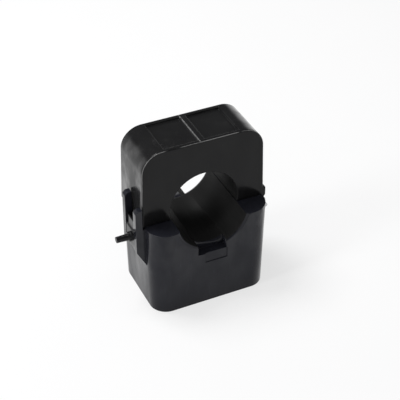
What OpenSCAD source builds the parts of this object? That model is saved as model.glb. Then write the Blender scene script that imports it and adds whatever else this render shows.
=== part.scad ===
// Split-core current transformer: a hinged upper half closes over the conductor and snaps shut.
// Frame: origin on the bore axis, +X towards the hinge, +Y away from the front, +Z up. Millimetres.

/* [Aperture] */
// Diameter of the conductor opening
bore_d = 24; // [16:0.5:30]
// Thickness of the housing wall round the opening
bore_wall = 1.2; // [0.9:0.1:1.8]
// How far the parting plane lies below the bore axis
split_drop = 2.7; // [1.6:0.1:3.4]

/* [Upper half] */
// Height of the top above the opening
crown_room = 12; // [9.6:0.2:16]
// Front-to-back depth of the upper half
upper_depth = 18.6; // [17.5:0.1:24]
// How far the upper half's middle lies behind the lower half's
upper_shift = 1.3; // [-1:0.1:2]
// Radius of the two top corners
top_corner_r = 7.2; // [3:0.1:9]
// Thickness of the glued front cover
cover_t = 1.1; // [0.8:0.1:1.6]
// Depth of the two panels sunk in the top
panel_depth = 0.9; // [0.4:0.1:1.4]
// Width of the rib between the panels
panel_rib = 2.1; // [1.5:0.1:4]

/* [Lower half] */
// Front-to-back depth of the lower half
lower_depth = 31; // [28:0.5:40]
// Depth of the housing below the opening
sump_room = 23.3; // [19.5:0.1:32]
// Radius of the four upright edges
edge_r = 6.5; // [4:0.1:8]
// Step of the lower half's sides inside the upper's
side_step = 0.45; // [0:0.05:0.5]
// Thickness of the moulded walls
wall = 1.4; // [1.1:0.1:2]
// Mould draft, as millimetres of taper for each millimetre of height
draft = 0.02; // [0:0.005:0.03]
// Width of the tie notch in the opening's rim
notch_w = 10.2; // [6:0.1:12]
// Depth of the tie notch below the opening
notch_drop = 2.4; // [0.8:0.1:2.8]
// Rounding of the opening's edge at the front
rim_r = 0.9; // [0.5:0.1:1.2]
// Rounding of the opening's edge at the back
mouth_r = 2.2; // [1:0.1:2.4]
// Width of the tie lug under the opening at the back
tie_lug_w = 6.3; // [4:0.1:9]
// How far the tie lug stands out from the back
tie_lug_out = 4.2; // [2:0.1:8]
// Thickness of the bottom cover
base_t = 1.5; // [1:0.1:2.5]

/* [Magnetic core] */
// Radial thickness of the core
core_t = 3.7; // [3:0.1:6]
// Front-to-back depth of the core
core_depth = 14; // [10:0.5:14]
// Thickness of the winding
winding_t = 3; // [1:0.1:3.2]
// Wall of the coil former
former_wall = 0.7; // [0.5:0.1:1]

/* [Hinge] */
// Diameter of the hinge pin
pin_d = 1.5; // [1.2:0.1:1.8]
// Outer radius of the hinge barrel
barrel_r = 1.8; // [1.5:0.1:2.4]
// Housing left between the core and the hinge barrel's cradle
hinge_web = 0.65; // [0.5:0.05:3]
// Depth of the hinge axis inside the side wall
hinge_in = 1.35; // [1.3:0.05:2.5]
// How far the knuckle stands out past the side wall
knuckle_out = 0.95; // [0.6:0.05:1.4]
// Height of the knuckle above the parting plane
knuckle_h = 3; // [2:0.2:6]
// Thickness of a hinge lug
lug_t = 1.4; // [1.2:0.1:2.2]

/* [Latch] */
// Width of a guard post, front to back
post_w = 2.3; // [1.6:0.1:3]
// How far the guard posts stand out from the side wall
post_out = 2.6; // [2:0.1:3.5]
// Height of the back guard post above the parting plane
post_rise = 8.8; // [6:0.1:14]
// How much lower the front guard post is
post_step = 1.7; // [0:0.1:3]
// Width of the snap latch between the posts
latch_w = 6.3; // [4:0.1:8]
// Thickness of the snap latch's tongue
tongue_t = 1.1; // [0.8:0.1:1.3]
// Length of the release peg
peg_len = 5; // [3:0.2:9]
// Diameter of the release peg at its tip
peg_d = 2.1; // [1.5:0.1:3]

/* [Hidden] */

$fn = 96;
// Free play between moulded pieces, and between the flat faces of the two halves
fit = 0.1;
face_gap = 0.05;
// Running clearance of the pin in the barrel, and its seat in the lugs
pin_play = 0.05;
pin_seat = 0.02;
// How far cutting tools reach past the surface they cut
over = 1;

bore_r = bore_d / 2;
sleeve_r = bore_r + bore_wall;

// Magnetic core, which sets the width of the housing together with the hinge
window_fit = 0.2;
core_in = sleeve_r + 0.3;
core_out = core_in + core_t;

// Hinge: the axis, the room the barrel turns in, and the eyes that carry the pin
cradle_r = barrel_r + 0.3;
hinge_x = core_out + window_fit + hinge_web + cradle_r;
hinge_z = -split_drop - 1.2;
eye_r = pin_d / 2 + 0.65;

upper_w = 2 * (hinge_x + hinge_in);
lower_w = upper_w - 2 * side_step;
top_z = bore_r + crown_room;
split_z = -split_drop;
bottom_z = -bore_r - sump_room;
knuckle_x = upper_w / 2 + knuckle_out;
pin_reach = lower_depth / 2 - edge_r / 2;

front_y = upper_shift - upper_depth / 2;
back_y = upper_shift + upper_depth / 2;
body_y = front_y + cover_t;
upper_low = split_z + face_gap;
lower_top = split_z - face_gap;
upper_h = top_z - upper_low;
lower_h = lower_top - bottom_z;
ceiling_z = top_z - panel_depth - wall;
core_y = (body_y + back_y - wall - core_depth) / 2;

// Latch
latch_y = upper_shift - 4.1;
post_x = upper_w / 2 + post_out;
post_pitch = latch_w + 2 * fit + post_w;
post_in = upper_w / 2 + 0.2;
tongue_out = post_x - 0.1;
tongue_in = tongue_out - tongue_t;
keeper_w = latch_w - 1.6;
nib_z = split_z - 1.1;
panel_low = split_z - 9.4;
ramp_low = split_z - 15.9;
sill_z = panel_low - 0.6;

// Coil, standing just clear of the bottom cover
flange_t = 0.8;
flange_rise = winding_t + 0.5;
former_in = 0.15;
former_len = 2 * core_in - 1.6;
former_mid_y = core_y + core_depth / 2;
yoke_low = bottom_z + base_t + 0.3 + flange_rise + former_wall + former_in;
yoke_mid = yoke_low + core_t / 2;

// Board on the inside of the front wall
board_t = 1.2;
board_w = 24;
board_h = 13;
board_y = -lower_depth / 2 + wall + draft * lower_h + 0.1;
board_in = board_y + board_t;
board_low = bottom_z + base_t + 0.3;

// Outlet for the output leads
grommet_r = 2.6;
grommet_z = bottom_z + 5.2;

// A block with round upright edges that narrows downwards from z = 0 by the mould draft
module drafted_block(w, d, h, r) {
    a = w / 2 - r;
    b = d / 2 - r;
    low_r = r - draft * h;
    for (sx = [-1, 1], sy = [-1, 1])
        translate([sx * a, sy * b, -h]) cylinder(h = h, r1 = low_r, r2 = r);
    rotate([90, 0, 0]) linear_extrude(2 * b, center = true)
        polygon([[-a - low_r, -h], [a + low_r, -h], [a + r, 0], [-a - r, 0]]);
    rotate([90, 0, 90]) linear_extrude(2 * a, center = true)
        polygon([[-b - low_r, -h], [b + low_r, -h], [b + r, 0], [-b - r, 0]]);
}

// Stands a drawing of the X-Z plane up, from y0 to y1
module across(y0, y1) {
    translate([0, y1, 0]) rotate([90, 0, 0]) linear_extrude(y1 - y0) children();
}

// A cylinder along Y, from y0 to y1
module rod(r, y0, y1, x = 0, z = 0) {
    translate([x, y0, z]) rotate([-90, 0, 0]) cylinder(h = y1 - y0, r = r);
}

module box(low, high) {
    translate(low) cube(high - low);
}

module round_rect(a, b, r) {
    square([2 * (a - r), 2 * b], center = true);
    square([2 * a, 2 * (b - r)], center = true);
    for (sx = [-1, 1], sy = [-1, 1]) translate([sx * (a - r), sy * (b - r)]) circle(r);
}

// Outline of the upper half, inset by t: straight drafted sides and two round top corners
module crown_outline(t, ceiling) {
    lean = sqrt(1 + draft * draft);
    r = max(top_corner_r - t, 1);
    arc_z = ceiling - r;
    foot_x = upper_w / 2 - t * lean;
    arc_x = foot_x - draft * (arc_z - upper_low) - r * lean;
    touch = [arc_x + r / lean, arc_z + r * draft / lean];
    polygon([[-foot_x, upper_low], [foot_x, upper_low], touch, [arc_x, ceiling],
             [-arc_x, ceiling], [-touch[0], touch[1]]]);
    for (side = [-1, 1]) translate([side * arc_x, arc_z]) circle(r);
}

// Leans the front and back of the upper half inwards, as far as the mould draft asks
module upper_draft() {
    lean = draft * upper_h;
    low = bottom_z;
    rotate([90, 0, 90]) linear_extrude(2 * upper_w, center = true)
        polygon([[front_y, low], [back_y, low], [back_y, upper_low], [back_y - lean, top_z],
                 [front_y + lean, top_z], [front_y, upper_low]]);
}

// Two shallow panels in the top, either side of the central rib
module top_panels() {
    front_rim = 2.2;
    back_rim = 1.8;
    reach = upper_w / 2 - top_corner_r - 1.3;
    for (side = [-1, 1])
        box([side > 0 ? panel_rib / 2 : -reach, front_y + front_rim, top_z - panel_depth],
            [side > 0 ? reach : -panel_rib / 2, back_y - back_rim, top_z + over]);
}

// The core's ends pass through these windows in the parting faces
module core_windows(z0, z1) {
    for (side = [-1, 1])
        box([side > 0 ? core_in - window_fit : -core_out - window_fit, core_y - window_fit, z0],
            [side > 0 ? core_out + window_fit : -core_in + window_fit,
             core_y + core_depth + window_fit, z1]);
}

module upper_shell() {
    difference() {
        across(body_y, back_y) crown_outline(0, top_z);
        difference() {
            across(body_y - over, back_y - wall - 0.3) intersection() {
                crown_outline(wall, ceiling_z);
                translate([-upper_w, upper_low + wall]) square([2 * upper_w, upper_h]);
            }
            rod(sleeve_r, body_y - 2 * over, back_y);
        }
        top_panels();
        core_windows(upper_low - over, upper_low + wall + over);
    }
}

// Hinge barrel with the knuckle that joins it to the side wall
module knuckle(y0, y1) {
    round_r = 0.8;
    top = split_z + knuckle_h;
    rod(barrel_r, y0, y1, hinge_x, hinge_z);
    across(y0, y1) {
        polygon([[hinge_x - barrel_r, hinge_z], [hinge_x + barrel_r, hinge_z],
                 [knuckle_x, hinge_z + round_r], [knuckle_x, top - round_r],
                 [knuckle_x - round_r, top], [upper_w / 2 - wall, top],
                 [upper_w / 2 - wall, upper_low + wall], [hinge_x - barrel_r, upper_low + wall]]);
        translate([knuckle_x - round_r, top - round_r]) circle(round_r);
    }
}

// Downward tab with a nib that the snap latch holds
module keeper() {
    tab_x = upper_w / 2 + 0.5;
    nib_x = tongue_in - 0.1;
    low = nib_z - 1.4;
    root_x = upper_w / 2 - 0.6;
    inner_x = lower_w / 2 + fit;
    across(latch_y - keeper_w / 2, latch_y + keeper_w / 2)
        polygon([[-root_x, split_z + 2.6], [-tab_x, split_z + 2], [-tab_x, nib_z],
                 [-nib_x, nib_z], [-nib_x, nib_z - 0.5], [-tab_x, low], [-inner_x, low],
                 [-inner_x, upper_low], [-root_x, upper_low]]);
}

// Holes through the upper half: the opening and the pin's running bore
module upper_bores() {
    rod(bore_r, front_y - over, back_y + over);
    rod(pin_d / 2 + pin_play, front_y - over, back_y + over, hinge_x, hinge_z);
}

module upper_case() {
    color([0.10, 0.10, 0.11]) difference() {
        union() {
            intersection() {
                union() {
                    upper_shell();
                    knuckle(body_y, back_y);
                }
                upper_draft();
            }
            keeper();
        }
        upper_bores();
    }
}

// Front plate, with the outline of the upper half
module upper_cover() {
    color([0.11, 0.11, 0.12]) difference() {
        intersection() {
            union() {
                across(front_y, body_y) crown_outline(0, top_z);
                knuckle(front_y, body_y);
            }
            upper_draft();
        }
        upper_bores();
    }
}

// Arch of the upper core, with short straight legs
module upper_core() {
    color([0.45, 0.45, 0.47]) across(core_y, core_y + core_depth) difference() {
        union() {
            circle(core_out);
            translate([-core_out, upper_low]) square([2 * core_out, -upper_low]);
        }
        circle(core_in);
        translate([-core_in, upper_low - over]) square([2 * core_in, over - upper_low]);
        translate([-2 * core_out, upper_low - 2 * core_out])
            square([4 * core_out, 2 * core_out]);
    }
}

// Foam saddle between the core's crown and the ceiling
module core_pad() {
    span = 16;
    color([0.25, 0.25, 0.26]) across(core_y + 1, core_y + core_depth - 1) difference() {
        translate([-span / 2, 0]) square([span, ceiling_z - face_gap]);
        circle(core_out + face_gap);
    }
}

module lower_cavity() {
    translate([0, 0, lower_top - wall])
        drafted_block(lower_w - 2 * wall - 2 * draft * wall,
                      lower_depth - 2 * wall - 2 * draft * wall, lower_h - wall, edge_r - wall);
}

// The block that fills the seat of the bottom cover, less a margin all round
module base_block(margin, h) {
    lean = draft * (lower_h - base_t);
    inset = lean + wall / 2 + margin;
    translate([0, 0, bottom_z + base_t])
        drafted_block(lower_w - 2 * inset, lower_depth - 2 * inset, h, edge_r - inset);
}

// Notch in the front rim of the opening for a cable tie, with a shallow field below it
module tie_notch() {
    notch_deep = 3.5;
    floor_z = -bore_r - notch_drop;
    face_y = -lower_depth / 2;
    mid_x = -0.4;
    field_w = 7.8;
    field_x = 1.1;
    field_h = 3.8;
    field_deep = draft * (lower_top - floor_z) + 0.4;
    box([mid_x - notch_w / 2, face_y - over, floor_z],
        [mid_x + notch_w / 2, face_y + notch_deep, 0]);
    box([field_x - field_w / 2, face_y - over, floor_z - field_h],
        [field_x + field_w / 2, face_y + field_deep, floor_z + 0.1]);
}

// Solid round the tie notch, inside the wall
module notch_pad() {
    face_y = -lower_depth / 2;
    box([-notch_w / 2 - 1.2, face_y + 0.6, -bore_r - notch_drop - wall],
        [notch_w / 2 + 1.2, face_y + 4.4, -bore_r]);
}

// What the rounding of the opening's edge takes away, at the front (-1) or the back (1)
module bore_mouth(side, r) {
    face_y = lower_depth / 2 - draft * bore_r / 2;
    rotate([side > 0 ? -90 : 90, 0, 0]) translate([0, 0, face_y - r]) rotate_extrude() difference() {
        square([bore_r + r, r + over]);
        translate([bore_r + r, 0]) circle(r);
    }
}

// Lug under the opening at the back, with a lip that keeps a cable tie on it
module tie_lug() {
    lug_h = 2;
    lip = 0.8;
    top_r = bore_r + 0.2;
    end_y = lower_depth / 2 + tie_lug_out;
    difference() {
        union() {
            box([-tie_lug_w / 2, lower_depth / 2 - mouth_r, -top_r - lug_h],
                [tie_lug_w / 2, end_y, -top_r + 1]);
            box([-tie_lug_w / 2, end_y - lip, -top_r - lug_h - lip], [tie_lug_w / 2, end_y, -top_r]);
        }
        rod(top_r, -lower_depth, lower_depth);
    }
}

// Corner of the lower half kept solid round the hinge barrel's cradle
module hinge_corner() {
    box([hinge_x - cradle_r - wall, -lower_depth, hinge_z - cradle_r - 2 * wall],
        [upper_w, lower_depth, 0]);
}

// Upright eye that carries the pin, with its foot running out on the side wall
module hinge_lug(y0) {
    foot = split_z - 5.8;
    rod(eye_r, y0, y0 + lug_t, hinge_x, hinge_z);
    across(y0, y0 + lug_t)
        polygon([[hinge_x - eye_r, hinge_z], [hinge_x + eye_r, hinge_z], [hinge_x + eye_r, foot],
                 [lower_w / 2 - 0.4, foot - 1.2], [hinge_x - eye_r, foot - 1.2]]);
}

// Room for the barrel, and for the knuckle as it swings down outside the wall
module hinge_cut() {
    y0 = front_y - fit;
    y1 = back_y + fit;
    swing = knuckle_x - hinge_x + 0.3;
    rod(cradle_r, y0, y1, hinge_x, hinge_z);
    box([hinge_x - cradle_r, y0, hinge_z], [knuckle_x + over, y1, split_z + over]);
    box([hinge_x, y0, hinge_z - swing], [knuckle_x + over, y1, split_z + over]);
    rod(pin_d / 2 + pin_seat, -lower_depth, lower_depth, hinge_x, hinge_z);
}

// Side view of a guard post: outer top edge bevelled, foot running out on the wall
module post_profile(rise) {
    bevel = 1;
    top = split_z + rise;
    root_x = lower_w / 2 - wall + 0.1;
    polygon([[-post_x, top - bevel], [-post_x + bevel, top], [-post_in, top],
             [-post_in, split_z - 0.6], [-root_x, split_z - 0.6], [-root_x, ramp_low],
             [-lower_w / 2 + 0.4, ramp_low], [-post_x, panel_low]]);
}

// Two guard posts, and the block between their feet that the snap latch stands on
module latch_housing() {
    for (side = [-1, 1]) {
        y = latch_y + side * post_pitch / 2;
        across(y - post_w / 2, y + post_w / 2)
            post_profile(side > 0 ? post_rise : post_rise - post_step);
    }
    across(latch_y - post_pitch / 2, latch_y + post_pitch / 2) intersection() {
        post_profile(post_rise - post_step);
        translate([-2 * post_x, bottom_z]) square([2 * post_x, sill_z - bottom_z]);
    }
}

module lower_case() {
    color([0.10, 0.10, 0.11]) difference() {
        union() {
            difference() {
                translate([0, 0, lower_top]) drafted_block(lower_w, lower_depth, lower_h, edge_r);
                difference() {
                    lower_cavity();
                    rod(sleeve_r, -lower_depth, lower_depth);
                    notch_pad();
                    hinge_corner();
                }
                bore_mouth(-1, rim_r);
                bore_mouth(1, mouth_r);
            }
            hinge_lug(front_y - fit - lug_t);
            hinge_lug(back_y + fit);
            latch_housing();
            tie_lug();
        }
        rod(bore_r, -lower_depth, lower_depth);
        tie_notch();
        core_windows(hinge_z - cradle_r - 3 * wall, split_z + over);
        hinge_cut();
        base_block(0, base_t + over);
        rod(grommet_r + fit, lower_depth / 2 - 3 * wall, lower_depth, 0, grommet_z);
    }
}

module bottom_cover() {
    color([0.12, 0.12, 0.13]) base_block(fit, base_t);
}

// U-shaped lower core: two legs and the yoke that the coil sits on
module lower_core() {
    corner = core_t / 2;
    color([0.45, 0.45, 0.47]) across(core_y, core_y + core_depth) {
        for (side = [-1, 1]) {
            translate([side > 0 ? core_in : -core_out, yoke_low + corner])
                square([core_t, lower_top - yoke_low - corner]);
            translate([side * (core_out - corner), yoke_low + corner]) circle(corner);
        }
        translate([-core_out + corner, yoke_low]) square([2 * (core_out - corner), core_t]);
    }
}

// One half of the coil former: a tray with two flanges, clipped round the yoke
module former_half(up) {
    half_y = core_depth / 2 + former_in;
    half_z = core_t / 2 + former_in;
    outer_y = half_y + former_wall;
    outer_z = half_z + former_wall;
    side = up ? 1 : -1;
    reach = core_depth;
    translate([0, former_mid_y, yoke_mid]) intersection() {
        difference() {
            union() {
                cube([former_len, 2 * outer_y, 2 * outer_z], center = true);
                for (x = [-1, 1] * (former_len - flange_t) / 2) translate([x, 0, 0])
                    cube([flange_t, 2 * (outer_y + flange_rise), 2 * (outer_z + flange_rise)],
                         center = true);
            }
            cube([2 * core_in, 2 * half_y, 2 * half_z], center = true);
        }
        translate([0, 0, side * (reach + 0.02)])
            cube([2 * core_in, 4 * reach, 2 * reach], center = true);
    }
}

module bobbin_top() {
    color([0.75, 0.72, 0.62]) former_half(true);
}

module bobbin_bottom() {
    color([0.75, 0.72, 0.62]) former_half(false);
}

// A round-cornered ring about the yoke, between the offsets t0 and t1 from the former
module coil_ring(t0, t1) {
    len = former_len - 2 * flange_t - 0.2;
    half_y = core_depth / 2 + former_in + former_wall;
    half_z = core_t / 2 + former_in + former_wall;
    translate([-len / 2, former_mid_y, yoke_mid]) rotate([90, 0, 90]) linear_extrude(len)
        difference() {
            round_rect(half_y + t1, half_z + t1, t1);
            round_rect(half_y + t0, half_z + t0, t0);
        }
}

module winding() {
    color([0.72, 0.36, 0.16]) coil_ring(0.05, winding_t);
}

module winding_tape() {
    color([0.85, 0.65, 0.15]) coil_ring(winding_t + 0.03, winding_t + 0.2);
}

// Pair of C-shaped leaf springs that press the lower core up against the upper one
module core_spring() {
    leaf_t = 0.4;
    upper = yoke_low - face_gap;
    lower = bottom_z + base_t + face_gap;
    inner_x = core_in + 0.2;
    outer_x = core_out - 1;
    color([0.6, 0.6, 0.62]) for (side = [-1, 1]) mirror([side > 0 ? 0 : 1, 0, 0])
        across(core_y + 2, core_y + core_depth - 2)
            polygon([[inner_x, upper], [outer_x, upper], [outer_x, lower], [inner_x, lower],
                     [inner_x, lower + leaf_t], [outer_x - leaf_t, lower + leaf_t],
                     [outer_x - leaf_t, upper - leaf_t], [inner_x, upper - leaf_t]]);
}

module circuit_board() {
    color([0.10, 0.35, 0.18]) box([-board_w / 2, board_y, board_low],
                                  [board_w / 2, board_in, board_low + board_h]);
}

// Surface-mounted part on the inner face of the board
module chip(x, w, h, t) {
    z = board_low + board_h / 2;
    box([x - w / 2, board_in, z - h / 2], [x + w / 2, board_in + t, z + h / 2]);
}

module burden_resistor() {
    color([0.12, 0.12, 0.13]) chip(-5.5, 6.3, 3.2, 0.7);
}

module protection_diode() {
    color([0.15, 0.15, 0.15]) chip(5, 4.6, 2.8, 1.1);
}

// Two solder posts for the output leads
module lead_terminals() {
    color([0.75, 0.74, 0.70]) for (side = [-1, 1])
        rod(0.5, board_in, board_in + 1.5, side * 2.5, board_low + 2);
}

// The two ends of the winding, led across to the board
module winding_leads() {
    coil_front = former_mid_y - core_depth / 2 - former_in - former_wall - winding_t - 0.25;
    color([0.8, 0.3, 0.15]) for (side = [-1, 1])
        rod(0.3, board_in, coil_front, side * 10.6, yoke_mid + 1.5);
}

// Strain-relief bush in the back wall, with two holes for the output leads
module lead_grommet() {
    y1 = lower_depth / 2 - draft * (lower_top - grommet_z);
    color([0.14, 0.14, 0.15]) difference() {
        union() {
            rod(grommet_r, y1 - wall - 0.3, y1 + 0.6, 0, grommet_z);
            rod(grommet_r + 0.8, y1 - wall - 0.9, y1 - wall - 0.1, 0, grommet_z);
        }
        for (side = [-1, 1]) rod(0.7, y1 - 2 * wall, y1 + over, side * 1.1, grommet_z);
    }
}

// Springy tongue with a hook at its head, a release peg and a foot between the guard posts
module snap_latch() {
    head = split_z + 0.9;
    step = split_z - 2.9;
    recess = 0.45;
    hook_x = upper_w / 2 + 0.7;
    foot_x = upper_w / 2 + 0.1;
    foot_low = sill_z + 0.02;
    peg_z = split_z - 6.2;
    color([0.09, 0.09, 0.10]) {
        across(latch_y - latch_w / 2, latch_y + latch_w / 2)
            polygon([[-tongue_out + recess, head], [-tongue_in - 0.1, head],
                     [-hook_x, nib_z + 1.1], [-hook_x, nib_z + 0.12],
                     [-tongue_in, nib_z + 0.12], [-tongue_in, panel_low + 1.4],
                     [-foot_x, panel_low + 1.2], [-foot_x, foot_low],
                     [-tongue_out + 0.3, foot_low], [-tongue_out, panel_low + 0.4],
                     [-tongue_out, step], [-tongue_out + recess, step + 0.6]]);
        translate([-tongue_out + 0.2, latch_y, peg_z]) rotate([0, -90, 0]) {
            cylinder(h = 1.2, r = peg_d * 0.8);
            cylinder(h = peg_len + 0.2, r1 = peg_d * 0.58, r2 = peg_d / 2);
        }
    }
}

module hinge_pin() {
    color([0.7, 0.7, 0.72]) rod(pin_d / 2, -pin_reach, pin_reach, hinge_x, hinge_z);
}

upper_case();
upper_cover();
upper_core();
core_pad();
lower_case();
bottom_cover();
lower_core();
bobbin_top();
bobbin_bottom();
winding();
winding_tape();
core_spring();
circuit_board();
burden_resistor();
protection_diode();
lead_terminals();
winding_leads();
lead_grommet();
snap_latch();
hinge_pin();
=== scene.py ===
"""Looks of a split-core current transformer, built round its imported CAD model."""
import math

import bpy
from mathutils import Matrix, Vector


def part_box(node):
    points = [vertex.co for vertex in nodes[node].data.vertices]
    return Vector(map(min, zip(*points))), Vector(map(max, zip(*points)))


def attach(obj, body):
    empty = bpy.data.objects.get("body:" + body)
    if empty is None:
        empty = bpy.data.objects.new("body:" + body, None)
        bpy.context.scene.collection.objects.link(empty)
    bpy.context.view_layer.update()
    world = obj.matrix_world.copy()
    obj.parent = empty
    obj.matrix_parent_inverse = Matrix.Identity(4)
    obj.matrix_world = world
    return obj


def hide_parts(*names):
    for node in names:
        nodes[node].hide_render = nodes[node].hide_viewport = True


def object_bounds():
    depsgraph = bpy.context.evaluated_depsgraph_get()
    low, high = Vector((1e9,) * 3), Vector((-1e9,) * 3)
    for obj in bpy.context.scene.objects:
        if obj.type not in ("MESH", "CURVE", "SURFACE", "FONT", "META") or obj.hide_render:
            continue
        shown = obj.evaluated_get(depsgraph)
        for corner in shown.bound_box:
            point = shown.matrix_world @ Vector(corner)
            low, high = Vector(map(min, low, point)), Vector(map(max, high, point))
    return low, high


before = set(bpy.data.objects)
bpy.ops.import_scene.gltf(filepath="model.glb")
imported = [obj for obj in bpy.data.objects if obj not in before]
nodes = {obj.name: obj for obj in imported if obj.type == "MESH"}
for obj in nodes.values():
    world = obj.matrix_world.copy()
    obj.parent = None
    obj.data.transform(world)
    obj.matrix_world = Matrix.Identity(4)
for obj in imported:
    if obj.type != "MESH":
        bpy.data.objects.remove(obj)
cad_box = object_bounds()
MM = 0.001


def aim_camera():
    """A long lens in front, a little to the left and well above the object."""
    data = bpy.data.cameras.new("camera")
    data.sensor_width = 36
    data.lens = 102.1
    data.shift_x = 0.0084
    data.shift_y = -0.0146
    camera = bpy.data.objects.new("camera", data)
    bpy.context.scene.collection.objects.link(camera)
    azimuth, height, distance = math.radians(-25.02), math.radians(36.79), 0.3706
    aim = Vector((0, -2.1 * MM, 0))
    back = Vector((math.sin(azimuth) * math.cos(height),
                   -math.cos(azimuth) * math.cos(height), math.sin(height)))
    camera.location = aim + back * distance
    camera.rotation_euler = back.to_track_quat("Z", "Y").to_euler()
    bpy.context.scene.camera = camera


aim_camera()


class Value:
    """A node's socket, on which Python's operators add Math nodes."""

    def __init__(self, recipe, socket):
        self.recipe, self.socket = recipe, socket

    def math(self, operation, *values):
        return self.recipe.add("Math", {"operation": operation}, dict(enumerate(values)))

    def __add__(self, other):
        return self.math("ADD", self, other)

    def __sub__(self, other):
        return self.math("SUBTRACT", self, other)

    def __rsub__(self, other):
        return self.math("SUBTRACT", other, self)

    def __mul__(self, other):
        return self.math("MULTIPLY", self, other)

    __radd__, __rmul__ = __add__, __mul__

    def __abs__(self):
        return self.math("ABSOLUTE", self)

    def wave(self, pitch):
        """A sine wave that repeats every pitch."""
        return self.math("SINE", self * (2 * math.pi / pitch))


class Recipe:
    """A material or world whose nodes all come from add()."""

    def __init__(self, owner):
        owner.use_nodes = True
        self.tree = owner.node_tree
        self.tree.nodes.clear()

    def add(self, kind, settings=None, sockets=None, output=0):
        made = self.tree.nodes.new("ShaderNode" + kind)
        for key, value in (settings or {}).items():
            setattr(made, key, value)
        for key, value in (sockets or {}).items():
            if isinstance(value, Value):
                self.tree.links.new(value.socket, made.inputs[key])
            else:
                made.inputs[key].default_value = value
        return Value(self, made.outputs[output]) if made.outputs else None

    def place(self):
        """Object coordinates, in metres."""
        return self.add("TexCoord", output="Object")

    def axes(self):
        """The three object coordinates."""
        split = self.add("SeparateXYZ", None, {0: self.place()}).socket.node
        return [Value(self, output) for output in split.outputs]

    def noise(self, size, detail=2.0, stretch=(1, 1, 1), rough=0.5):
        """Soft noise whose features are about size metres across."""
        at = self.add("Mapping", None, {"Vector": self.place(), "Scale": stretch})
        return self.add("TexNoise", None, {"Vector": at, "Scale": 1 / size,
                                           "Detail": detail, "Roughness": rough})

    def cells(self, size):
        """Distance from the middle of each of many cells, about size metres across."""
        return self.add("TexVoronoi", None, {"Vector": self.place(), "Scale": 1 / size})

    def ramp(self, value, low, high):
        """0 below low and 1 above high, or the other way round."""
        return self.add("MapRange", {"interpolation_type": "SMOOTHSTEP"},
                        {"Value": value, "From Min": low, "From Max": high})

    def near(self, value, middle, half, soft):
        """1 where value is within half of middle, fading to 0 over soft."""
        return self.ramp(abs(value - middle), half + soft, half)

    def blend(self, factor, first, second):
        """The first colour where factor is 0, and the second where it is 1."""
        return self.add("Mix", {"data_type": "RGBA"}, {0: factor, 6: first, 7: second}, 2)

    def bump(self, height, depth, distance=0.05 * MM):
        return self.add("Bump", None,
                        {"Height": height, "Strength": depth, "Distance": distance})


def rgb(red, green, blue):
    return (red, green, blue, 1)


def grey(level):
    return rgb(level, level, level)


def shade(colour, share):
    """The same colour, darker or brighter by share."""
    return rgb(*[share * part for part in colour[:3]])


def finish(name, build):
    """A material: build(recipe) gives the sockets of its Principled shader."""
    material = bpy.data.materials.new(name)
    recipe = Recipe(material)
    shader = recipe.add("BsdfPrincipled", None, build(recipe))
    recipe.add("OutputMaterial", None, {"Surface": shader})
    return material


# Black mouldings

top = cad_box[1][2]
rib_side = -1.05 * MM
plate_low, plate_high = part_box("upper_cover")
mould_draft = 0.02
speck_grey = rgb(0.22, 0.215, 0.205)


def polished(tone, gloss, patchy, sag, wear_and_highlight=None):
    """Polished black plastic, with a thin glossy skin that handling has dulled in patches.

    The skin thins towards the foot. Its weight higher up is gloss, give or take patchy, and
    sag is the depth of the slow waves in the surface. The last argument gives where the
    colour goes paler, for real scuffs and for a painted highlight."""
    def build(r):
        z = r.axes()[2]
        skin = r.ramp(z, -48 * MM, 12 * MM)
        flow = r.noise(9 * MM, 3)
        waves = r.noise(11 * MM, 1, (1, 1, 0.45))
        grain = r.noise(0.3 * MM, 2)
        handled = r.ramp(r.noise(8 * MM, 3, (1, 1, 0.55), 0.6), 0.38, 0.62)
        rub = r.ramp(r.noise(2.5 * MM, 4, (1, 1, 0.15), 0.7), 0.56, 0.72)
        specks = (r.ramp(r.cells(1.7 * MM), 0.045, 0.02)
                  * r.ramp(r.noise(6 * MM), 0.5, 0.62))
        colour = r.blend(flow, shade(tone, 0.82), shade(tone, 1.18))
        colour = r.blend(rub * 0.25, colour, shade(tone, 2.2))
        colour = r.blend(specks * 0.3, colour, speck_grey)
        # Paler grey where the mask says: real scuffs, and a painted highlight.
        if wear_and_highlight:
            colour = r.blend(wear_and_highlight(r), colour, grey(0.19))
        return {"Base Color": colour,
                "Roughness": (0.11 + flow * 0.05 + rub * 0.08 + handled * 0.05
                              + specks * 0.3),
                "IOR": 1.25,
                "Coat Weight": skin * (gloss + patchy - handled * (2 * patchy)),
                "Coat IOR": 1.4,
                "Coat Roughness": 0.1,
                "Normal": r.bump(waves * sag + grain * 0.04, 0.5)}
    return build


def rib_line_and_scuff(r):
    """A paler line painted along the left edge of the top's central rib, and a scuff beside
    it.
    """
    x, y, z = r.axes()
    chips = r.ramp(r.noise(0.8 * MM, 3, rough=0.7), 0.36, 0.5)
    # A paler line along the rib's top left edge, broken up by noise.
    line = (r.near(x, rib_side + 0.12 * MM, 0.14 * MM, 0.1 * MM)
            * r.ramp(z, top - 0.6 * MM, top - 0.3 * MM))
    scuff_x, scuff_y = -11 * MM, -3 * MM
    scuff = (r.near(x, scuff_x, 1.5 * MM, 4 * MM) * r.near(y, scuff_y, 1 * MM, 3 * MM)
             * r.ramp(z, top - 1.2 * MM, top - 1 * MM)
             * r.ramp(r.noise(1.3 * MM, 4, rough=0.8), 0.5, 0.75))
    return line * chips * 0.8 + scuff * 0.12


def rim_highlight(r):
    """A painted highlight along the front plate's rounded rim, broken into patches and
    strongest high up.
    """
    y, z = r.axes()[1:]
    front = plate_low[1] + mould_draft * (z - plate_low[2])
    behind = y - front
    # Painted highlight: a thin pale band just behind the plate's front face.
    rim = r.near(behind, 0.17 * MM, 0.08 * MM, 0.08 * MM)
    high_up = r.ramp(z, 8 * MM, 15 * MM) * 0.75 + 0.25
    return rim * high_up * r.ramp(r.noise(5 * MM, 3), 0.3, 0.55) * 0.85


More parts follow.
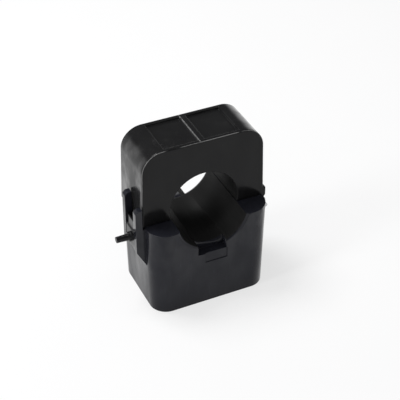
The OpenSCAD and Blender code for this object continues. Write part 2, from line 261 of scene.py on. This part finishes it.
def satin_bore(r):
    """The bore's wall, as the mould's eroded core pin leaves it."""
    grain = r.noise(0.18 * MM, 3)
    draw = r.noise(1.2 * MM, 3, (1, 0.06, 1))
    return {"Base Color": r.blend(draw, grey(0.012), grey(0.019)),
            "Roughness": 0.42 + grain * 0.1,
            "Specular IOR Level": 0.06,
            "Normal": r.bump(grain + draw, 0.25, 0.02 * MM)}


def textured_black(r):
    """Black with a fine spark-eroded grain, a little greyer where it has been rubbed."""
    grain = r.noise(0.16 * MM, 3)
    flow = r.noise(7 * MM, 3)
    rub = r.ramp(r.noise(3 * MM, 4, rough=0.7), 0.55, 0.7)
    colour = r.blend(flow, grey(0.009), grey(0.013))
    return {"Base Color": r.blend(rub * 0.5, colour, grey(0.022)),
            "Roughness": 0.42 + rub * 0.1 - flow * 0.05,
            "IOR": 1.4,
            "Normal": r.bump(grain, 0.3, 0.03 * MM)}


def rubber(r):
    """Soft black rubber with a grey bloom."""
    grain = r.noise(0.12 * MM, 3)
    bloom = r.ramp(r.noise(2 * MM, 4), 0.45, 0.75)
    return {"Base Color": r.blend(bloom, grey(0.012), grey(0.03)),
            "Roughness": 0.62 + bloom * 0.15,
            "IOR": 1.45,
            "Normal": r.bump(grain, 0.35, 0.03 * MM)}


upper_black = finish("upper_black", polished(
    rgb(0.0125, 0.0125, 0.0130), gloss=0.45, patchy=0.4, sag=50, wear_and_highlight=rib_line_and_scuff))
# The front plate carries a painted highlight along its rim.
cover_black = finish("cover_black", polished(
    rgb(0.0095, 0.0095, 0.0100), gloss=0.02, patchy=0.02, sag=8, wear_and_highlight=rim_highlight))
lower_black = finish("lower_black", polished(
    rgb(0.0148, 0.0155, 0.0206), gloss=0.2, patchy=0.18, sag=45))
latch_black = finish("latch_black", polished(
    rgb(0.0110, 0.0110, 0.0120), gloss=0.1, patchy=0.1, sag=20))
bore_black = finish("bore_black", satin_bore)
underside_black = finish("underside_black", textured_black)
bush_rubber = finish("bush_rubber", rubber)


# Magnetic and electrical parts

def ground_ferrite(pole):
    """Fired grey ferrite, lapped brighter in fine straight lines at the height pole."""
    def build(r):
        z = r.axes()[2]
        ground = r.near(z, pole, 0.04 * MM, 0.06 * MM)
        grit = r.noise(0.25 * MM, 4, rough=0.7)
        lines = r.noise(0.22 * MM, 3, (0.05, 1, 1))
        chips = r.ramp(r.cells(0.9 * MM), 0.16, 0.1)
        fired = r.blend(grit, grey(0.03), rgb(0.06, 0.058, 0.056))
        lapped = r.blend(lines, grey(0.085), rgb(0.17, 0.168, 0.165))
        relief = grit * (1 - ground) + lines * 0.15 - chips * 0.5
        colour = r.blend(ground, fired, lapped)
        return {"Base Color": r.blend(chips * 0.6, colour, grey(0.025)),
                "Roughness": 0.62 - ground * 0.3 + lines * 0.08 + chips * 0.1,
                "Metallic": ground * 0.45,
                "Normal": r.bump(relief, 0.5, 0.03 * MM)}
    return build


def foam(r):
    """Dark foam with open cells."""
    cells = r.cells(0.45 * MM)
    fine = r.noise(0.2 * MM, 3)
    colour = r.blend(cells, rgb(0.012, 0.012, 0.013), rgb(0.055, 0.055, 0.058))
    return {"Base Color": colour,
            "Roughness": 0.85 + fine * 0.1,
            "IOR": 1.4,
            "Normal": r.bump(cells + fine * 0.3, 0.8, 0.12 * MM)}


def nylon(r):
    """Natural nylon, yellower where it stayed long in the heat."""
    flow = r.noise(6 * MM, 4, (1, 0.4, 1))
    grain = r.noise(0.2 * MM, 2)
    burnt = r.ramp(r.noise(3 * MM, 4), 0.6, 0.75)
    colour = r.blend(flow, rgb(0.5, 0.45, 0.33), rgb(0.62, 0.57, 0.45))
    return {"Base Color": r.blend(burnt * 0.4, colour, rgb(0.42, 0.33, 0.18)),
            "Roughness": 0.38 + flow * 0.12,
            "IOR": 1.5,
            "Normal": r.bump(grain + flow * 2, 0.2, 0.03 * MM)}


def enamelled_turns(pitch):
    """Enamelled copper wire laid side by side along X, one turn in each pitch."""
    def build(r):
        turn = abs(r.axes()[0].wave(2 * pitch))
        varnish = r.noise(1.5 * MM, 3)
        colour = r.blend(varnish, rgb(0.42, 0.13, 0.045), rgb(0.62, 0.24, 0.09))
        groove_shade = r.ramp(turn, 0.45, 0.1)
        # Painted shade darkens the grooves between neighbouring turns.
        return {"Base Color": r.blend(groove_shade, colour, rgb(0.12, 0.035, 0.012)),
                "Roughness": 0.22 + varnish * 0.15,
                "Metallic": 0.85,
                "Normal": r.bump(turn + varnish * 0.1, 0.9, 0.5 * pitch)}
    return build


def amber_tape(r):
    """Polyester tape in overlapping laps, with small trapped bubbles."""
    lap = r.ramp(r.axes()[0].wave(9 * MM), 0.9, 0.97)
    crease = r.noise(2 * MM, 4, (1, 0.3, 0.3))
    bubbles = r.ramp(r.cells(0.8 * MM), 0.14, 0.08) * r.ramp(r.noise(4 * MM), 0.5, 0.65)
    colour = r.blend(crease, rgb(0.62, 0.37, 0.03), rgb(0.76, 0.5, 0.07))
    colour = r.blend(lap * 0.5, colour, rgb(0.4, 0.2, 0.015))
    return {"Base Color": r.blend(bubbles * 0.5, colour, rgb(0.8, 0.62, 0.25)),
            "Roughness": 0.2 + crease * 0.15,
            "IOR": 1.5,
            "Normal": r.bump(crease + lap * 0.5 + bubbles * 0.5, 0.35, 0.06 * MM)}


def drawn_metal(dark, bright, stretch, roughness):
    """Bright metal with its drawing or rolling lines, and a trace of tarnish."""
    def build(r):
        lines = r.noise(0.12 * MM, 3, stretch)
        tarnish = r.ramp(r.noise(2.2 * MM, 4, rough=0.65), 0.5, 0.75)
        colour = r.blend(lines, dark, bright)
        return {"Base Color": r.blend(tarnish * 0.45, colour, shade(dark, 0.55)),
                "Roughness": roughness + lines * 0.12 + tarnish * 0.15,
                "Metallic": 1.0,
                "Normal": r.bump(lines, 0.25, 0.01 * MM)}
    return build


def solder_mask(r):
    """A green board: tracks under the mask, woven glass, and bare epoxy at the cut edges."""
    x, y, z = r.axes()
    low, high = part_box("circuit_board")
    middle = (low[1] + high[1]) / 2
    edge = r.near(y, middle, (high[1] - low[1]) / 2 - 0.06 * MM, 0.03 * MM)
    sideways = (r.ramp(abs(z.wave(3.6 * MM)), 0.12, 0.06)
                * r.ramp(r.noise(5 * MM), 0.46, 0.48))
    upright = (r.ramp(abs(x.wave(5.4 * MM)), 0.12, 0.06)
               * r.ramp(r.noise(6 * MM), 0.52, 0.5))
    track = sideways.math("MAXIMUM", sideways, upright)
    weave = x.wave(0.5 * MM) * z.wave(0.5 * MM)
    cloud = r.noise(3 * MM, 3)
    mask = r.blend(cloud, rgb(0.007, 0.085, 0.028), rgb(0.012, 0.13, 0.045))
    mask = r.blend(track, mask, rgb(0.035, 0.24, 0.085))
    glass = r.blend(weave * 0.5 + 0.5, rgb(0.34, 0.31, 0.13), rgb(0.5, 0.46, 0.22))
    return {"Base Color": r.blend(edge, mask, glass),
            "Roughness": 0.24 + cloud * 0.08 + edge * 0.4,
            "IOR": 1.5,
            "Normal": r.bump(weave * 0.2 + track, 0.4, 0.03 * MM)}


def chip_resistor(r):
    """A dark glaze on white ceramic, between two tinned ends."""
    x, y = r.axes()[:2]
    low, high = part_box("burden_resistor")
    ends = r.ramp(abs(x - (low[0] + high[0]) / 2), 2.5 * MM, 2.56 * MM)
    glaze = r.ramp(y, high[1] - 0.2 * MM, high[1] - 0.15 * MM)
    grain = r.noise(0.2 * MM, 3)
    ceramic = r.blend(grain, grey(0.62), grey(0.75))
    body = r.blend(glaze, ceramic, r.blend(grain, grey(0.012), grey(0.02)))
    tinned = r.blend(grain, grey(0.5), rgb(0.68, 0.67, 0.63))
    return {"Base Color": r.blend(ends, body, tinned),
            "Roughness": 0.35 + grain * 0.12 - ends * 0.08,
            "Metallic": ends,
            "Normal": r.bump(grain + ends, 0.3, 0.02 * MM)}


def moulded_diode(r):
    """A moulded black package with a pale band at one end and a parting line round it."""
    x, y = r.axes()[:2]
    low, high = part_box("protection_diode")
    grain = r.noise(0.12 * MM, 3)
    band = (r.near(x, high[0] - 0.9 * MM, 0.25 * MM, 0.03 * MM)
            * r.ramp(y, high[1] - 0.03 * MM, high[1] - 0.02 * MM))
    parting = r.near(y, (low[1] + high[1]) / 2, 0.02 * MM, 0.02 * MM)
    body = r.blend(grain, grey(0.014), grey(0.024))
    printed = band * (0.8 + grain * 0.2)
    return {"Base Color": r.blend(printed, body, rgb(0.55, 0.55, 0.52)),
            "Roughness": 0.45 + grain * 0.12,
            "IOR": 1.5,
            "Normal": r.bump(grain + parting * 2, 0.35, 0.02 * MM)}


# Pieces

def copy_of(node, name):
    """A merged copy of a CAD node, with its flat faces joined."""
    bpy.ops.object.select_all(action="DESELECT")
    piece = bpy.data.objects.new(name, nodes[node].data.copy())
    piece.data.name = name
    piece.data.materials.clear()
    bpy.context.scene.collection.objects.link(piece)
    piece.select_set(True)
    bpy.context.view_layer.objects.active = piece
    bpy.ops.object.mode_set(mode="EDIT")
    bpy.ops.mesh.select_all(action="SELECT")
    bpy.ops.mesh.remove_doubles(threshold=0.001 * MM)
    bpy.ops.mesh.dissolve_limited(angle_limit=math.radians(0.2))
    bpy.ops.object.mode_set(mode="OBJECT")
    return piece


def mark_edges(piece, shortest, clear, joint):
    """Marks the sharp edges to round.

    Those shorter than shortest stay sharp, and those that touch a round place in clear, given
    by its middle's x and z and its radius, or that lie behind the joint."""
    mesh = piece.data
    corners = [corner.co for corner in mesh.vertices]
    sides = {}
    for face in mesh.polygons:
        for key in face.edge_keys:
            sides.setdefault(key, []).append(face.normal)
    marks = mesh.attributes.new("bevel_weight_edge", "FLOAT", "EDGE")
    for edge in mesh.edges:
        normals = sides[edge.key]
        ends = [corners[index] for index in edge.vertices]
        touching = any(math.hypot(end.x - x, end.z - z) < radius
                       for end in ends for x, z, radius in clear)
        sharp = len(normals) == 2 and normals[0].angle(normals[1], 0) > math.radians(28)
        marks.data[edge.index].value = (
            sharp and not touching and min(end.y for end in ends) <= joint
            and (ends[0] - ends[1]).length > shortest)


def rounded(node, name, material, radius, body, shortest=0, clear=(), joint=math.inf):
    """Stands in for a CAD node with its edges rounded, and a satin wall in the bore."""
    piece = copy_of(node, name)
    mark_edges(piece, shortest, clear, joint)
    bevel = piece.modifiers.new("edge", "BEVEL")
    bevel.width = radius
    bevel.segments = 3
    bevel.limit_method = "WEIGHT"
    bevel.use_clamp_overlap = False
    bpy.ops.object.modifier_apply(modifier="edge")
    bpy.ops.object.shade_smooth_by_angle(angle=math.radians(35))
    piece.modifiers.new("flats", "WEIGHTED_NORMAL").keep_sharp = True
    bpy.ops.object.modifier_apply(modifier="flats")
    piece.data.materials.append(material)
    piece.data.materials.append(bore_black)
    corners = [math.hypot(corner.co.x, corner.co.z) for corner in piece.data.vertices]
    for face in piece.data.polygons:
        if max(corners[index] for index in face.vertices) < bore_r + 0.2 * MM:
            face.material_index = 1
    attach(piece, body)
    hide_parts(node)


bore_r = 12 * MM
pin_low, pin_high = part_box("hinge_pin")
pin_middle = ((pin_low[0] + pin_high[0]) / 2, (pin_low[2] + pin_high[2]) / 2)
bore_rims = (0, 0, bore_r + 1.6 * MM)
hinge_eyes = (*pin_middle, 3.2 * MM)
knuckle = (*pin_middle, 5 * MM)
glue_line = plate_high[1] - 0.05 * MM
rounded("upper_case", "upper_shell", upper_black, 0.25 * MM, "upper", clear=(knuckle,))
rounded("upper_cover", "front_plate", cover_black, 0.35 * MM, "upper", joint=glue_line)
rounded("lower_case", "lower_shell", lower_black, 0.15 * MM, "lower",
        shortest=0.5 * MM, clear=(bore_rims, hinge_eyes))
rounded("snap_latch", "latch_tongue", latch_black, 0.12 * MM, "lower")


def paint(material, *names):
    """Gives CAD nodes their material."""
    for node in names:
        mesh = nodes[node].data
        mesh.materials.clear()
        mesh.materials.append(material)


copper_wire = (rgb(0.5, 0.17, 0.06), rgb(0.68, 0.28, 0.11))
steel = (rgb(0.42, 0.42, 0.43), rgb(0.62, 0.62, 0.63))
tin = (rgb(0.5, 0.49, 0.46), rgb(0.72, 0.71, 0.67))
paint(underside_black, "bottom_cover")
paint(bush_rubber, "lead_grommet")
paint(finish("upper_ferrite", ground_ferrite(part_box("upper_core")[0][2])), "upper_core")
paint(finish("lower_ferrite", ground_ferrite(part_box("lower_core")[1][2])), "lower_core")
paint(finish("core_foam", foam), "core_pad")
paint(finish("natural_nylon", nylon), "bobbin_top", "bobbin_bottom")
paint(finish("wound_copper", enamelled_turns(0.22 * MM)), "winding")
paint(finish("amber_tape", amber_tape), "winding_tape")
paint(finish("copper_wire", drawn_metal(*copper_wire, (0.1, 1, 1), 0.2)), "winding_leads")
paint(finish("spring_steel", drawn_metal(*steel, (0.05, 1, 1), 0.22)), "core_spring")
paint(finish("pin_steel", drawn_metal(*steel, (1, 0.05, 1), 0.18)), "hinge_pin")
paint(finish("tinned_brass", drawn_metal(*tin, (1, 0.1, 1), 0.3)), "lead_terminals")
paint(finish("solder_mask", solder_mask), "circuit_board")
paint(finish("chip_resistor", chip_resistor), "burden_resistor")
paint(finish("moulded_diode", moulded_diode), "protection_diode")


# Studio

def light(name, place, size, power):
    """A rectangular lamp that faces the object."""
    data = bpy.data.lights.new(name, "AREA")
    data.shape = "RECTANGLE"
    data.size, data.size_y = size
    data.energy = power
    lamp = bpy.data.objects.new(name, data)
    bpy.context.scene.collection.objects.link(lamp)
    lamp.location = place
    lamp.rotation_euler = Vector(place).to_track_quat("Z", "Y").to_euler()


def shown(recipe):
    """1 for rays that show the background: straight, in a reflection or through glass."""
    rays = recipe.add("LightPath").socket.node.outputs
    return (Value(recipe, rays["Is Camera Ray"]) + Value(recipe, rays["Is Glossy Ray"])
            + Value(recipe, rays["Is Transmission Ray"]))


def white_paper():
    """A sheet that shows soft shadows near the object and goes to pure white further out."""
    material = bpy.data.materials.new("white_paper")
    r = Recipe(material)
    x, y = r.axes()[:2]
    far = r.ramp(x * x + y * y, 0.2 ** 2, 0.6 ** 2)
    flat_white = 0.66
    tint = r.blend(r.noise(40 * MM), rgb(0.9, 0.9, 0.905), rgb(0.93, 0.93, 0.935))
    sheet = r.add("BsdfDiffuse", None, {"Color": tint, "Roughness": 0.4})
    white = r.add("Emission", None, {"Color": rgb(1, 1, 1), "Strength": 1.0})
    share = shown(r) * (far * (1 - flat_white) + flat_white)
    mixed = r.add("MixShader", None, {0: share, 1: sheet, 2: white})
    r.add("OutputMaterial", None, {"Surface": mixed})
    return material


def studio():
    """A pale floor, two lamps, and a backdrop that is white low down and dark overhead."""
    low = cad_box[0][2]
    bpy.ops.object.select_all(action="DESELECT")
    bpy.ops.mesh.primitive_circle_add(vertices=96, radius=2.0, fill_type="NGON",
                                      location=(0, 0, low - 0.02 * MM))
    floor = bpy.context.object
    floor.name = "floor"
    floor.data.materials.append(white_paper())

    light("key", (-0.14, 0.16, 0.54), (0.2, 0.2), 2.4)
    light("edge_strip", (-0.50, -0.05, 0.32), (0.1, 0.3), 0.9)

    world = bpy.data.worlds.new("studio")
    bpy.context.scene.world = world
    r = Recipe(world)
    up = r.add("SeparateXYZ", None, {0: r.add("TexCoord", output="Generated")}, "Z")
    overhead, ambient = 0.05, 0.38
    backdrop = r.ramp(up, 0.42, 0.15) * (1 - overhead) + overhead
    see = shown(r)
    strength = see * backdrop + (1 - see) * ambient
    sky = r.add("Background", None, {"Color": rgb(1, 1, 1), "Strength": strength})
    r.add("OutputWorld", None, {"Surface": sky})


studio()
bpy.context.scene.view_settings.view_transform = "Standard"
